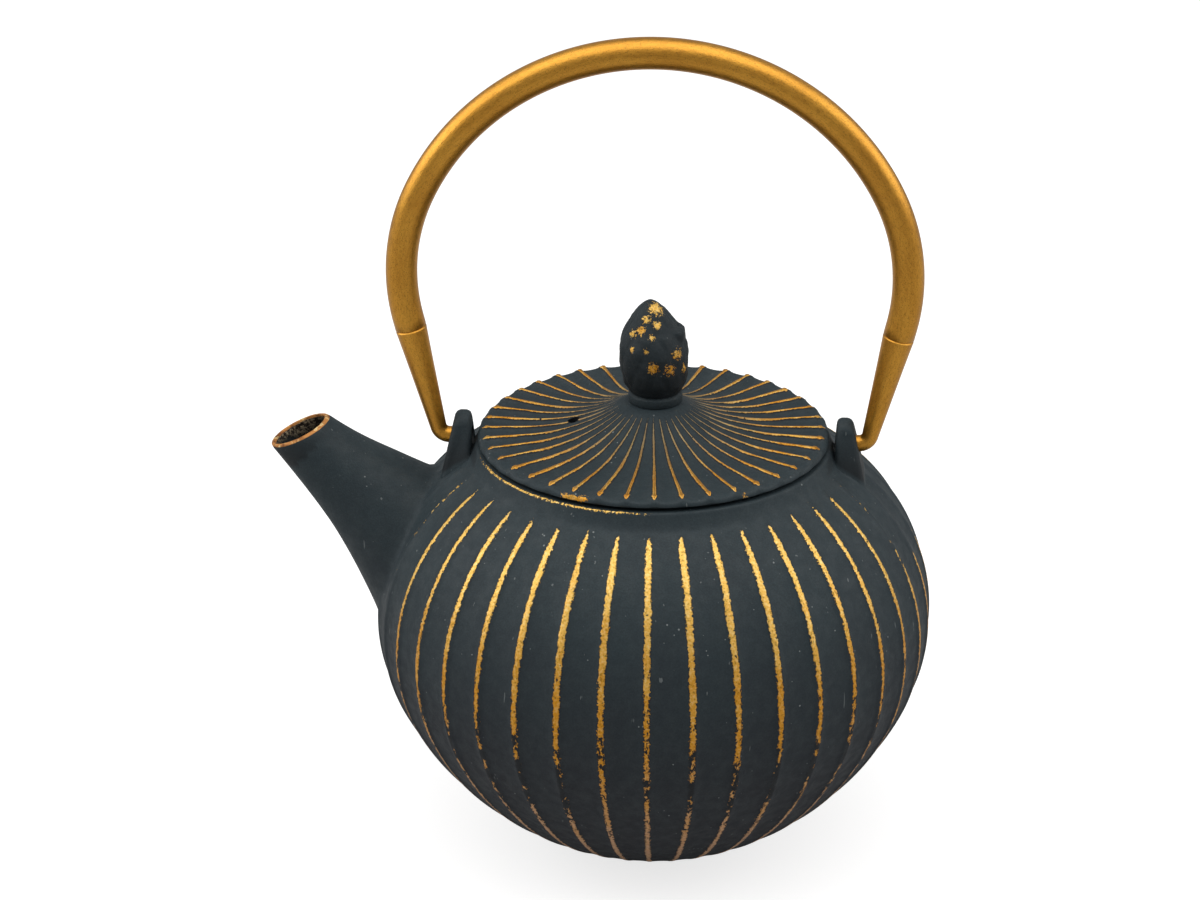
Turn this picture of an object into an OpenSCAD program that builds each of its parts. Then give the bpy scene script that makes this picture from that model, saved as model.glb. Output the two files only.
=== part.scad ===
// Cast-iron teapot: fluted round body with a spout and two ears, ribbed lid with a cone-shaped
// knob, a tube bail that swings in the ears, and a steel tea basket hanging in the mouth.
// Millimetres. Origin at the centre of the foot's underside, +Z up, the spout along -X.

/* [Body] */
// Radius of the body at its widest, over the crests
body_r = 75; // [72:0.5:80]
// Radius of the arc that draws the shoulder, from the mouth to a little below the middle
shoulder_arc = 52.5; // [51:0.5:55]
// Radius of the flatter arc that draws the belly, down to the foot
belly_arc = 84; // [78:1:90]
// How far below the middle the belly arc starts, in degrees
belly_start = 25; // [18:1:32]
// Thickness of the cast wall
wall = 3.8; // [3:0.1:4.4]
// Radius of the flat foot
foot_r = 25; // [22:0.5:30]
// Height of the foot below the belly
foot_h = 1.2; // [0.8:0.1:4]

/* [Flutes] */
// Number of flutes round the body
flutes = 40; // [36:1:44]
// Width of the flat crest between two flutes
crest_w = 2; // [1.6:0.1:2.4]
// Depth of a flute at the middle
flute_depth = 0.8; // [0.5:0.05:1.1]
// Radius below which a flute runs out towards the foot
flute_low_r = 31; // [29:0.5:36]
// Turn of the crests about the axis, in degrees
crest_phase = 1.7; // [0:0.1:9]

/* [Mouth] */
// Outer radius of the rim
rim_r = 47.2; // [45:0.1:49]
// Bevel on the outer edge of the rim
rim_bevel = 0.7; // [0.3:0.1:1]
// Height of the smooth band under the rim, where the flutes end
band_h = 4.1; // [3.6:0.1:5]
// How far the foot of the band stands out past the rim
band_out = 2; // [1.4:0.1:2.8]
// Width of the rim, from its outer edge to the recess for the lid's ring and the basket's flange
rim_w = 3.7; // [3.2:0.1:4.2]
// Depth of the ledge that carries the basket, below the rim
ledge_d = 3.5; // [3.2:0.1:4.5]
// Width of the ledge
ledge_w = 4; // [3:0.1:5]
// Thickness of the iron under the ledge
ledge_t = 3.6; // [2.5:0.1:4.5]

/* [Spout] */
// Distance of the centre of the spout's lip from the body's axis
lip_x = 95.1; // [90:0.5:100]
// Height of the centre of the lip above the rim
lip_rise = 0.6; // [-4:0.1:6]
// Angle of the spout above the horizontal
spout_angle = 44; // [40:1:48]
// Outer radius at the lip
lip_r = 8.1; // [7:0.1:9.5]
// Radius of the arc that draws the spout's flare
flare_arc = 173; // [160:1:190]
// How far past the lip the flare would be at its narrowest
flare_past = 23.9; // [20:0.1:28]
// Tilt of the lip from the horizontal
lip_tilt = 21; // [12:1:30]
// Thickness of the spout's wall at the lip
spout_wall = 2.2; // [1.8:0.1:2.8]
// Distance from the axis at which the flare ends inside the pot
spout_root_x = 52; // [50:0.5:54]
// Radius of the passage where it opens into the pot
passage_r = 16; // [14:0.5:17]

/* [Ears] */
// Gap between the rim and the foot of an ear's inner face
ear_gap = 0.6; // [0.4:0.1:1.6]
// Thickness of an ear at its top
ear_top_t = 4.4; // [3.8:0.1:5.5]
// How far the outer face runs out from top to bottom
ear_flare = 4.3; // [3:0.1:5.5]
// Lean of the inner face from bottom to top
ear_lean = 0.8; // [0:0.1:1.5]
// Radius of the round top
ear_round = 4.2; // [3.8:0.1:5]
// Half width of an ear where it leaves the shoulder
ear_foot = 13; // [11:0.5:15]
// Height of the ear's top above the pin
ear_above = 7.7; // [7:0.1:10]
// Depth of the ear's root below the pin
ear_below = 11.3; // [11:0.1:14]
// Height of the bail's pins above the rim
pin_rise = 0.1; // [0:0.1:2]

/* [Bail] */
// Height of the bail's centre line above its pins
bail_h = 106.5; // [100:0.5:115]
// Radius of the crown of the bail
crown_arc = 67.7; // [64:0.5:72]
// Half angle of the crown
crown_half = 64; // [58:1:68]
// Radius of the bail's sides
side_arc = 52.7; // [50:0.5:56]
// Outer radius of the tube
tube_r = 4.15; // [3.7:0.05:4.6]
// Wall of the tube
tube_wall = 0.9; // [0.6:0.1:1.2]
// Length of straight tube below each side, down to the seam
seam_drop = 3; // [3:0.5:6]
// Length of the plug of a leg inside the tube
plug_l = 2.4; // [1.5:0.1:2.6]
// Radius of the pins and of the hooks that carry them
pin_r = 2.4; // [2.1:0.05:2.7]
// Radius of the hooks' centre line
hook_r = 3.8; // [3.4:0.1:4.6]
// How far the pins stop short of the foot of the ears' inner faces
pin_short = 1.2; // [1:0.1:2.5]

/* [Lid] */
// How far the lid's edge stands back from the rim's outer edge
lid_inset = 0.5; // [0.2:0.1:1.2]
// Thickness of the flat border of the lid
lid_t = 3.1; // [2.8:0.1:3.8]
// Radius of the round along the border
lid_edge = 1.8; // [1.2:0.1:2.2]
// Thickness of the lid's raised middle
lid_shell = 2.8; // [2.4:0.1:3.2]
// Width of the flat border of the lid
border_w = 12.7; // [10:0.1:16]
// Height of the knob's seat above the flat border
seat_h = 8; // [6:0.5:10]
// Radius of the knob's seat
seat_r = 7.8; // [7.4:0.1:9]
// Height of the ring under the lid
ring_h = 2.4; // [1.8:0.1:2.6]
// Thickness of the ring under the lid
ring_t = 2.6; // [2:0.1:3.2]
// Number of ribs on the lid
ribs = 40; // [36:1:44]
// Turn of the ribs about the axis, in degrees
rib_phase = 3.2; // [0:0.1:9]
// Height of a rib
rib_h = 0.45; // [0.3:0.05:0.7]
// Width of a rib at its outer end
rib_w = 1; // [0.8:0.1:1.4]
// Radius of a rib's round outer end
rib_end_r = 0.8; // [0.6:0.05:1]
// Distance of the ribs' outer ends from the lid's edge
rib_inset = 2.1; // [1.8:0.1:4]
// Radius at which the ribs start
rib_in_r = 12.4; // [11:0.1:14]
// Radius of the steam hole
vent_r = 1.4; // [1:0.1:1.8]
// Distance of the steam hole from the axis
vent_x = 21.3; // [16:0.1:26]
// Direction of the steam hole seen from above, in degrees
vent_angle = 180; // [150:1:210]

/* [Knob] */
// Height of the knob above its seat
knob_h = 28.4; // [25:0.1:32]
// Radius of the knob's core
knob_r = 8.7; // [7.8:0.1:9]
// Height of the knob's widest place above its seat
knob_wide_h = 12.6; // [11:0.1:15]
// Radius of the knob's flat tip
tip_r = 1.6; // [1.2:0.1:2.2]
// Radius of the knob's collar
collar_r = 7.2; // [6.8:0.1:7.4]
// Height of the collar
collar_h = 2.6; // [2:0.1:3.2]
// Depth of the groove above the collar
groove_d = 0.6; // [0.3:0.1:1]
// Radius of one scale of the cone
scale_r = 2.7; // [2.4:0.1:3]
// How far a scale stands out of the core
scale_out = 0.5; // [0.4:0.1:1.1]
// Spacing of the rows of scales
scale_row = 3.9; // [3.6:0.1:4.4]
// Radius of the knob's stud
stud_r = 2.5; // [2:0.1:2.8]
// Outer radius of the washer
washer_r = 6; // [5.5:0.1:6.6]
// Thickness of the washer
washer_t = 1; // [0.8:0.1:1.5]
// Width of the nut across its flats
nut_w = 8; // [7.6:0.1:9]
// Height of the nut
nut_h = 4; // [3:0.1:5]

/* [Tea basket] */
// Radial clearance of the basket's collar in the mouth
basket_gap = 1.55; // [0.8:0.05:3]
// Depth of the basket below the ledge
basket_d = 50; // [44:1:56]
// Thickness of the basket's sheet
sheet = 0.6; // [0.5:0.05:0.8]
// Thickness of the basket's flange
flange_t = 0.8; // [0.6:0.05:0.9]
// Depth of the collar under the flange
hang_d = 5; // [4:0.5:7]
// Rows of holes in the wall
hole_rows = 4; // [3:1:5]
// Holes in one row
hole_turn = 24; // [20:1:28]
// Radius of a hole
hole_r = 1.2; // [0.9:0.1:1.4]
// Height of the base's edge inside the wall
base_lip = 1.5; // [1:0.1:2]

/* [Clearances] */
// Gap under the lid where it rests on the rim
lid_gap = 0.2; // [0.1:0.05:0.3]
// Side clearance of the lid's ring and of the basket's flange in the recess
recess_gap = 0.45; // [0.35:0.05:0.6]
// Radial clearance of the pins in the ears
pin_gap = 0.1; // [0.1:0.05:0.4]
// Radial clearance of the knob's stud in the lid
stud_gap = 0.2; // [0.1:0.05:0.4]
// Gap between pieces that are pushed or welded together
fit_gap = 0.05; // [0.03:0.01:0.08]
// Gap between the outer face of an ear and the start of its hook
hook_gap = 0.3; // [0.2:0.05:0.6]

/* [Hidden] */
$fn = 96;
past = 1;        // how far a cut runs past the face that it opens
bead_h = 0.05;   // height of the fine beads that join the stretches of the bail
bead_l = 0.4;    // length of a bead
bead_gap = 0.1;  // gap inside a bead between two stretches
iron = [0.23, 0.26, 0.27];
gold = [0.72, 0.52, 0.18];
steel = [0.72, 0.73, 0.74];

// Mouth: every radius follows from the rim's
band_r = rim_r + band_out;
recess_r = rim_r - rim_w;
mouth_r = recess_r - ledge_w;
ear_x = rim_r + ear_gap;
pin_end_x = ear_x + pin_short;
lid_r = rim_r - lid_inset;
rise_r = lid_r - border_w;
rib_out_r = lid_r - rib_inset;
basket_r = mouth_r - basket_gap - sheet - fit_gap;

// Meridian of the body: two arcs that meet smoothly belly_start degrees below the middle.
shoulder_cr = body_r - shoulder_arc;
belly_cr = shoulder_cr + (shoulder_arc - belly_arc) * cos(belly_start);
belly_cz = (belly_arc - shoulder_arc) * sin(belly_start);
function shoulder_h(r) = sqrt(pow(shoulder_arc, 2) - pow(r - shoulder_cr, 2));
function belly_h(r) = belly_cz - sqrt(pow(belly_arc, 2) - pow(r - belly_cr, 2));
middle_z = foot_h - belly_h(foot_r);
rim_z = middle_z + shoulder_h(band_r) + band_h;
ledge_z = rim_z - ledge_d;

// Flutes: the floor is two arcs as well, and comes nearer to the crests where the body is narrower.
pitch = 360 / flutes;
function flute_w(r) = 2 * PI * r / flutes - crest_w;
function depth_at(r) = flute_depth * pow(flute_w(r) / flute_w(body_r), 2);
flute_top = acos((band_r - shoulder_cr) / shoulder_arc);
flute_low = acos((flute_low_r - belly_cr) / belly_arc);
floor_in = (flute_depth - depth_at(band_r)) / (1 - cos(flute_top));
low_turn = flute_low - belly_start;
floor_more = (floor_in * cos(flute_low) - (floor_in - flute_depth) * cos(low_turn)
    - depth_at(flute_low_r)) / (1 - cos(low_turn));
floor_shoulder = shoulder_arc + floor_in - flute_depth;
floor_belly = belly_arc + floor_more;
floor_belly_cr = shoulder_cr - floor_in + (floor_shoulder - floor_belly) * cos(belly_start);
floor_belly_cz = (floor_belly - floor_shoulder) * sin(belly_start);

// Bail: crown, sides and legs lie in one plane, and each leg is the common tangent of side and hook.
pin_z = rim_z + pin_rise;
ear_out_x = ear_x + ear_lean + ear_top_t;
ear_pin_x = ear_out_x + ear_flare * ear_above / (ear_above + ear_below);
hook_x = ear_pin_x + hook_gap;
crown_z = pin_z + bail_h - crown_arc;
side_x = (crown_arc - side_arc) * sin(crown_half);
side_z = crown_z + (crown_arc - side_arc) * cos(crown_half);
leg_dx = hook_x - side_x;
leg_dz = pin_z + hook_r - side_z;
leg_span = norm([leg_dx, leg_dz]);
leg_turn = atan2(leg_dx, leg_dz) - acos((side_arc - hook_r) / leg_span);
leg_l = sqrt(pow(leg_span, 2) - pow(side_arc - hook_r, 2)) - seam_drop;

// Lid and knob
lid_z = rim_z + lid_gap;
lid_top = lid_z + lid_t;
seat_z = lid_top + seat_h;
seat_under = seat_z - lid_shell;
rise_arc = (pow(rise_r - seat_r, 2) + pow(seat_h, 2)) / (2 * seat_h);
ring_r = recess_r - recess_gap;
washer_z = seat_under - washer_t;
nut_z = washer_z - nut_h;
knob_up_arc = (pow(knob_r - tip_r, 2) + pow(knob_h - knob_wide_h, 2)) / (2 * (knob_r - tip_r));
neck_h = collar_h + groove_d;
neck_r = collar_r - groove_d;
knob_low_arc = (pow(knob_r - collar_r, 2) + pow(knob_wide_h - neck_h, 2)) / (2 * (knob_r - collar_r));
function knob_at(h) = h > knob_wide_h
    ? knob_r - knob_up_arc + sqrt(pow(knob_up_arc, 2) - pow(h - knob_wide_h, 2))
    : knob_r - knob_low_arc + sqrt(pow(knob_low_arc, 2) - pow(h - knob_wide_h, 2));

// Area inside the meridian, drawn in by a wall, between two heights
module meridian(inset, low, high) {
    change = middle_z - (shoulder_arc - inset) * sin(belly_start);
    intersection() {
        translate([belly_cr, middle_z + belly_cz]) circle(belly_arc - inset, $fn = 360);
        translate([0, low]) square([body_r, change - low]);
    }
    intersection() {
        union() {
            translate([shoulder_cr, middle_z]) circle(shoulder_arc - inset, $fn = 360);
            translate([0, change]) square([shoulder_cr, high - change]);
        }
        translate([0, change]) square([body_r, high - change]);
    }
}

// One flute: a strip along the meridian that is flat across, between two crests
module flute_cut() {
    low_z = middle_z + belly_h(flute_low_r);
    high_z = rim_z - band_h;
    change = middle_z - floor_shoulder * sin(belly_start);
    outside = body_r + 2 * past;
    crest_half = 90 * crest_w / (PI * body_r);
    edge = 2 * outside * [cos(pitch / 2 - crest_half), sin(pitch / 2 - crest_half)];
    intersection() {
        rotate([90, 0, 0]) linear_extrude(2 * flute_w(body_r), center = true) difference() {
            translate([0, low_z]) square([outside, high_z - low_z]);
            intersection() {
                translate([shoulder_cr - floor_in, middle_z]) circle(floor_shoulder, $fn = 360);
                translate([0, change]) square([outside, outside]);
            }
            translate([0, change]) square([shoulder_cr, high_z]);
            intersection() {
                translate([floor_belly_cr, middle_z + floor_belly_cz]) circle(floor_belly, $fn = 360);
                translate([0, low_z - past]) square([outside, change - low_z + past]);
            }
        }
        translate([0, 0, low_z - past]) linear_extrude(high_z - low_z + 2 * past)
            polygon([[0, 0], [edge[0], -edge[1]], edge]);
    }
}

module flute_cuts() {
    for (i = [0 : flutes - 1]) rotate([0, 0, crest_phase - 90 + (i + 0.5) * pitch]) flute_cut();
}

module band_profile() {
    band_z = rim_z - band_h;
    polygon([[mouth_r, band_z], [band_r, band_z], [rim_r + rim_bevel / 2, rim_z - rim_bevel],
        [rim_r - rim_bevel / 2, rim_z], [mouth_r, rim_z]]);
}

// Flaring outline of the spout, with its lip at zero and the pot below
module flare_profile(low, high) {
    flare_c = lip_r + sqrt(pow(flare_arc, 2) - pow(flare_past, 2));
    difference() {
        translate([0, low]) square([flare_past + lip_r, high - low]);
        translate([flare_c, flare_past]) circle(flare_arc, $fn = 720);
    }
}

module at_lip() {
    translate([-lip_x, 0, rim_z + lip_rise]) children();
}

module spout_flare(length) {
    at_lip() rotate([0, spout_angle - 90, 0]) rotate_extrude($fn = 96) flare_profile(-length, lip_r);
}

// Passage through the spout, a plain cone that widens towards the pot
module spout_passage(length) {
    narrow = lip_r - spout_wall;
    beyond = lip_r * (passage_r - narrow) / length;
    at_lip() rotate([0, spout_angle - 90, 0]) translate([0, 0, -length])
        cylinder(h = length + lip_r, r1 = passage_r, r2 = narrow - beyond, $fn = 96);
}

module ear() {
    top_z = pin_z + ear_above;
    foot_z = pin_z - ear_below;
    round_z = top_z - ear_round;
    // The sides of the outline touch the round top
    far = norm([ear_foot, round_z - foot_z]);
    side = acos(ear_round / far) + atan2(foot_z - round_z, ear_foot);
    touch = [ear_round * cos(side), ear_round * sin(side)];
    intersection() {
        rotate([90, 0, 90]) translate([0, 0, ear_x - past])
            linear_extrude(ear_top_t + ear_flare + ear_lean + 2 * past) {
                translate([0, round_z]) circle(ear_round, $fn = 96);
                polygon([[-ear_foot, foot_z], [ear_foot, foot_z], [touch[0], round_z + touch[1]],
                    [-touch[0], round_z + touch[1]]]);
            }
        rotate([90, 0, 0]) translate([0, 0, -ear_foot - past]) linear_extrude(2 * (ear_foot + past))
            polygon([[ear_x, foot_z], [ear_x + ear_lean, top_z], [ear_out_x, top_z],
                [ear_out_x + ear_flare, foot_z]]);
    }
}

module pin_bore() {
    translate([ear_x, 0, pin_z]) rotate([0, 90, 0])
        cylinder(h = ear_pin_x - ear_x + ear_flare, r = pin_r + pin_gap, $fn = 96);
}

module pot_body() {
    spout_l = (lip_x - spout_root_x) / cos(spout_angle);
    color(iron) difference() {
        union() {
            difference() {
                rotate_extrude($fn = 240) {
                    meridian(0, foot_h / 2, rim_z - band_h);
                    band_profile();
                }
                flute_cuts();
            }
            spout_flare(spout_l);
            for (side = [0, 1]) mirror([side, 0, 0]) ear();
            cylinder(h = foot_h + wall / 2, r = foot_r, $fn = 240);
        }
        rotate_extrude($fn = 240) meridian(wall, foot_h + wall, ledge_z - ledge_t);
        translate([0, 0, ledge_z - ledge_t - past]) cylinder(h = ledge_t + 2 * past, r = mouth_r, $fn = 240);
        translate([0, 0, ledge_z]) cylinder(h = ledge_d + past, r = recess_r, $fn = 240);
        spout_passage(spout_l - wall);
        at_lip() rotate([0, -lip_tilt, 0]) cylinder(h = 3 * lip_r, r = 3 * lip_r);
        for (side = [0, 1]) mirror([side, 0, 0]) pin_bore();
    }
}

// Area that is cut away over the lid's rise and border, lifted by the height of the ribs
module over_lid(lift) {
    top = lid_top + lift;
    translate([rise_r, top + rise_arc]) circle(rise_arc, $fn = 360);
    translate([rise_r, top]) square([lid_r, seat_h + rise_arc]);
}

module lid_profile() {
    difference() {
        translate([0, lid_z]) square([lid_r, seat_z - lid_z]);
        over_lid(0);
        difference() {
            translate([lid_r - lid_edge, lid_top - lid_edge]) square(lid_edge + past);
            translate([lid_r - lid_edge, lid_top - lid_edge]) circle(lid_edge, $fn = 96);
        }
        // Hollow under the raised middle
        difference() {
            translate([0, lid_z - past]) square([rise_r, seat_under - lid_z + past]);
            translate([rise_r, lid_top + rise_arc]) circle(rise_arc + lid_shell, $fn = 360);
        }
    }
    translate([ring_r - ring_t, rim_z - ring_h]) square([ring_t, ring_h + lid_gap + past]);
}

module lid_rib() {
    angle = 360 * rib_w / (2 * PI * rib_out_r);
    rotate([0, 0, -angle / 2]) rotate_extrude(angle = angle, $fn = 240) difference() {
        translate([rib_in_r, lid_top - past]) square([rib_out_r - rib_in_r, seat_h]);
        over_lid(rib_h);
        translate([rise_r, lid_top + rise_arc]) circle(rise_arc + past, $fn = 360);
    }
}

module lid() {
    color(iron) difference() {
        union() {
            rotate_extrude($fn = 240) lid_profile();
            for (i = [0 : ribs - 1]) rotate([0, 0, rib_phase - 90 + i * 360 / ribs]) {
                lid_rib();
                translate([rib_out_r, 0, lid_top - past]) cylinder(h = past + rib_h, r = rib_end_r, $fn = 24);
            }
        }
        translate([0, 0, seat_under - past]) cylinder(h = lid_shell + 2 * past, r = stud_r + stud_gap);
        rotate([0, 0, vent_angle]) translate([vent_x, 0, lid_z - past])
            cylinder(h = seat_h + lid_t + 2 * past, r = vent_r, $fn = 48);
    }
}

module knob_profile() {
    intersection() {
        translate([knob_r - knob_up_arc, knob_wide_h]) circle(knob_up_arc, $fn = 240);
        translate([0, knob_wide_h]) square([knob_r, knob_h - knob_wide_h]);
    }
    intersection() {
        translate([knob_r - knob_low_arc, knob_wide_h]) circle(knob_low_arc, $fn = 240);
        translate([0, neck_h]) square([knob_r, knob_wide_h - neck_h]);
    }
    translate([0, collar_h]) square([neck_r, groove_d]);
    square([collar_r, collar_h]);
}

module knob() {
    first_row = neck_h + scale_r;
    last_row = knob_h - scale_r;
    color(iron) translate([0, 0, seat_z]) {
        rotate_extrude($fn = 96) knob_profile();
        for (row = [0 : floor((last_row - first_row) / scale_row)]) {
            h = first_row + row * scale_row;
            count = max(4, floor(2 * PI * knob_at(h) / (2 * scale_r)));
            for (i = [0 : count - 1]) rotate([0, 0, (i + row / 2) * 360 / count])
                translate([knob_at(h) + scale_out - scale_r, 0, h]) sphere(scale_r, $fn = 48);
        }
        translate([0, 0, nut_z - seat_z - washer_t])
            cylinder(h = seat_z - nut_z + washer_t + collar_h, r = stud_r, $fn = 48);
    }
}

module knob_washer() {
    color(steel) translate([0, 0, washer_z]) difference() {
        cylinder(h = washer_t, r = washer_r);
        translate([0, 0, -past]) cylinder(h = washer_t + 2 * past, r = stud_r + fit_gap);
    }
}

module knob_nut() {
    color(steel) translate([0, 0, nut_z]) difference() {
        cylinder(h = nut_h, r = nut_w / sqrt(3), $fn = 6);
        translate([0, 0, -past]) cylinder(h = nut_h + 2 * past, r = stud_r + fit_gap);
    }
}

// Rod or tube bent round a centre in the plane of the bail, between two angles from straight up.
// It stops just short of each angle, inside the bead that joins it to the next stretch.
module bend(centre_x, centre_z, arc, from, to, outer, inner) {
    short = bead_gap / arc * 180 / PI;
    translate([centre_x, 0, centre_z]) rotate([90, 0, 0]) rotate([0, 0, 90 - to + short])
        rotate_extrude(angle = to - from - 2 * short, $fn = 240) translate([arc, 0]) difference() {
            circle(outer, $fn = 64);
            if (inner > 0) circle(inner, $fn = 64);
        }
}

// Straight tube or rod down along Z
module straight(length, outer, inner) {
    difference() {
        cylinder(h = length, r = outer, $fn = 64);
        if (inner > 0) translate([0, 0, -past]) cylinder(h = length + 2 * past, r = inner, $fn = 64);
    }
}

module bead(outer, inner) {
    translate([0, 0, -bead_l / 2]) straight(bead_l, outer + bead_h, inner > 0 ? inner - bead_h : 0);
}

// Place on an arc of the bail, looking down along the bail
module on_arc(centre_x, centre_z, arc, turn) {
    translate([centre_x + arc * sin(turn), 0, centre_z + arc * cos(turn)])
        rotate([0, turn + 90, 0]) children();
}

module at_leg() {
    on_arc(side_x, side_z, side_arc, leg_turn) children();
}

module bail_tube() {
    bore_r = tube_r - tube_wall;
    color(gold) {
        bend(0, crown_z, crown_arc, -crown_half, crown_half, tube_r, bore_r);
        for (side = [0, 1]) mirror([side, 0, 0]) {
            on_arc(0, crown_z, crown_arc, crown_half) bead(tube_r, bore_r);
            bend(side_x, side_z, side_arc, crown_half, leg_turn, tube_r, bore_r);
            at_leg() {
                bead(tube_r, bore_r);
                translate([0, 0, bead_gap]) straight(seam_drop - bead_gap, tube_r, bore_r);
            }
        }
    }
}

module bail_leg() {
    hook_z = pin_z + hook_r;
    color(gold) {
        at_leg() translate([0, 0, seam_drop]) {
            cylinder(h = leg_l - bead_gap, r1 = tube_r, r2 = pin_r, $fn = 64);
            translate([0, 0, -plug_l]) straight(plug_l + past, tube_r - tube_wall - fit_gap, 0);
        }
        on_arc(hook_x, hook_z, hook_r, leg_turn) bead(pin_r, 0);
        bend(hook_x, hook_z, hook_r, leg_turn, 180, pin_r, 0);
        on_arc(hook_x, hook_z, hook_r, 180) {
            bead(pin_r, 0);
            translate([0, 0, bead_gap]) straight(hook_x - pin_end_x - bead_gap, pin_r, 0);
        }
    }
}

module bail_leg_right() {
    bail_leg();
}

module bail_leg_left() {
    mirror([1, 0, 0]) bail_leg();
}

module basket_flange() {
    hang_r = basket_r + fit_gap;
    color(steel) translate([0, 0, ledge_z]) difference() {
        union() {
            cylinder(h = flange_t, r = recess_r - recess_gap, $fn = 240);
            translate([0, 0, -hang_d]) cylinder(h = hang_d, r = hang_r + sheet, $fn = 240);
        }
        translate([0, 0, -hang_d - past]) cylinder(h = hang_d + flange_t + 2 * past, r = hang_r, $fn = 240);
    }
}

module basket_wall() {
    free_d = basket_d - hang_d - base_lip;
    color(steel) translate([0, 0, ledge_z]) difference() {
        translate([0, 0, -basket_d]) cylinder(h = basket_d, r = basket_r, $fn = 240);
        translate([0, 0, -basket_d - past])
            cylinder(h = basket_d + 2 * past, r = basket_r - sheet, $fn = 240);
        for (row = [0 : hole_rows - 1], i = [0 : hole_turn - 1])
            rotate([0, 0, (i + row / 2) * 360 / hole_turn])
                translate([basket_r - sheet - past, 0, -hang_d - (row + 0.5) * free_d / hole_rows])
                    rotate([0, 90, 0]) cylinder(h = sheet + 2 * past, r = hole_r, $fn = 24);
    }
}

module basket_base() {
    lip_out = basket_r - sheet - fit_gap;
    hole_rings = 4;
    color(steel) translate([0, 0, ledge_z - basket_d - sheet]) difference() {
        union() {
            cylinder(h = sheet, r = basket_r, $fn = 240);
            cylinder(h = sheet + base_lip, r = lip_out, $fn = 240);
        }
        translate([0, 0, sheet]) cylinder(h = base_lip + past, r = lip_out - sheet, $fn = 240);
        for (ring = [1 : hole_rings], i = [0 : 6 * ring - 1])
            rotate([0, 0, i * 60 / ring]) translate([ring * lip_out / (hole_rings + 1), 0, -past])
                cylinder(h = sheet + 2 * past, r = hole_r, $fn = 24);
    }
}

pot_body();
lid();
knob();
knob_washer();
knob_nut();
bail_tube();
bail_leg_left();
bail_leg_right();
basket_flange();
basket_wall();
basket_base();
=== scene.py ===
from math import acos, asin, atan2, copysign, cos, degrees as inDegrees, hypot, pi, radians, sin, sqrt, tan

import bpy
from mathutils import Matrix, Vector
from mathutils.noise import noise as dent


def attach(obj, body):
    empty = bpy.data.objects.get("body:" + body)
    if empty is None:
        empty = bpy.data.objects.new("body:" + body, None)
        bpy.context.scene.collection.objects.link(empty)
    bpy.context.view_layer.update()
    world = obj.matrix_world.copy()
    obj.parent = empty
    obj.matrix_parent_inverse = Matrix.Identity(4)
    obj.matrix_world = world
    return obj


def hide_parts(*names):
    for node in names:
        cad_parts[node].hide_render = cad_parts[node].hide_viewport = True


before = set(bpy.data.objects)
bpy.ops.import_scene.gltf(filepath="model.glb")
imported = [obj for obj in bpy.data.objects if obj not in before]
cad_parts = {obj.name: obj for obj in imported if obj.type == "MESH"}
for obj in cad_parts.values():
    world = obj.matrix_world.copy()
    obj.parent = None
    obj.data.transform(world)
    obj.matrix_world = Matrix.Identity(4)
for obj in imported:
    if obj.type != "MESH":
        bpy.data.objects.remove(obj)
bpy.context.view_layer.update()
mm = 0.001
print("frame loaded")

# sizes are in millimetres, and mm turns them into metres


def editMesh():
    bpy.ops.object.mode_set(mode="EDIT")


def leaveMesh():
    bpy.ops.object.mode_set(mode="OBJECT")


def pickNone():
    bpy.ops.object.select_all(action="DESELECT")


def pickAll():
    bpy.ops.mesh.select_all(action="SELECT")


def only(piece):
    pickNone()
    piece.select_set(True)
    bpy.context.view_layer.objects.active = piece


def modify(piece, kind, **settings):
    # adds a modifier and applies it at once
    modifier = piece.modifiers.new(kind, kind)
    for name, value in settings.items():
        setattr(modifier, name, value)
    only(piece)
    bpy.ops.object.modifier_apply(modifier=modifier.name)


def settle(piece):
    # the place and turn go into the mesh
    only(piece)
    bpy.ops.object.transform_apply(location=True, rotation=True, scale=True)


def fromAxis(place):
    return hypot(place.x, place.y)


def turnRound(place):
    # degrees round the axis from X
    return inDegrees(atan2(place.y, place.x))


def smooth(low, high, value):
    share = min(max((value - low) / (high - low), 0), 1)
    return share * share * (3 - 2 * share)


def faceOutwards():
    pickAll()
    bpy.ops.mesh.normals_make_consistent(inside=False)


def endMesh(nearest=0.001):
    # closes the seams, where points are nearer than this
    pickAll()
    bpy.ops.mesh.remove_doubles(threshold=nearest * mm)
    faceOutwards()
    leaveMesh()


def drawProfile(name, points):
    # a chain of edges in the XZ plane, drawn on from a single vertex
    pickNone()
    bpy.ops.mesh.primitive_plane_add(size=mm)
    piece = bpy.context.object
    piece.name = name
    editMesh()
    bpy.ops.mesh.merge(type="CENTER")
    bpy.ops.transform.translate(value=(points[0][0] * mm, 0, points[0][1] * mm))
    for here, there in zip(points, points[1:]):
        step = ((there[0] - here[0]) * mm, 0, (there[1] - here[1]) * mm)
        bpy.ops.mesh.extrude_vertices_move(TRANSFORM_OT_translate={"value": step})
    return piece


def turnOnLathe(piece, spans, copies=1):
    # spans are (degrees, steps) of one slice, which is then copied round the axis
    pickAll()
    for degrees, steps in spans:
        bpy.ops.mesh.spin(steps=steps, angle=radians(degrees), center=(0, 0, 0), axis=(0, 0, 1))
    if copies > 1:
        pickAll()
        rest = radians(360 * (copies - 1) / copies)
        bpy.ops.mesh.spin(steps=copies - 1, angle=rest, dupli=True, center=(0, 0, 0), axis=(0, 0, 1))
    endMesh(0.01)


def weighPoints(piece, weightOf):
    # a vertex group with what weightOf gives for each point's place
    group = piece.vertex_groups.new(name="weight")
    for vertex in piece.data.vertices:
        weight = weightOf(vertex.co / mm)
        if weight > 0:
            group.add([vertex.index], min(weight, 1), "REPLACE")
    return group.name


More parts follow.
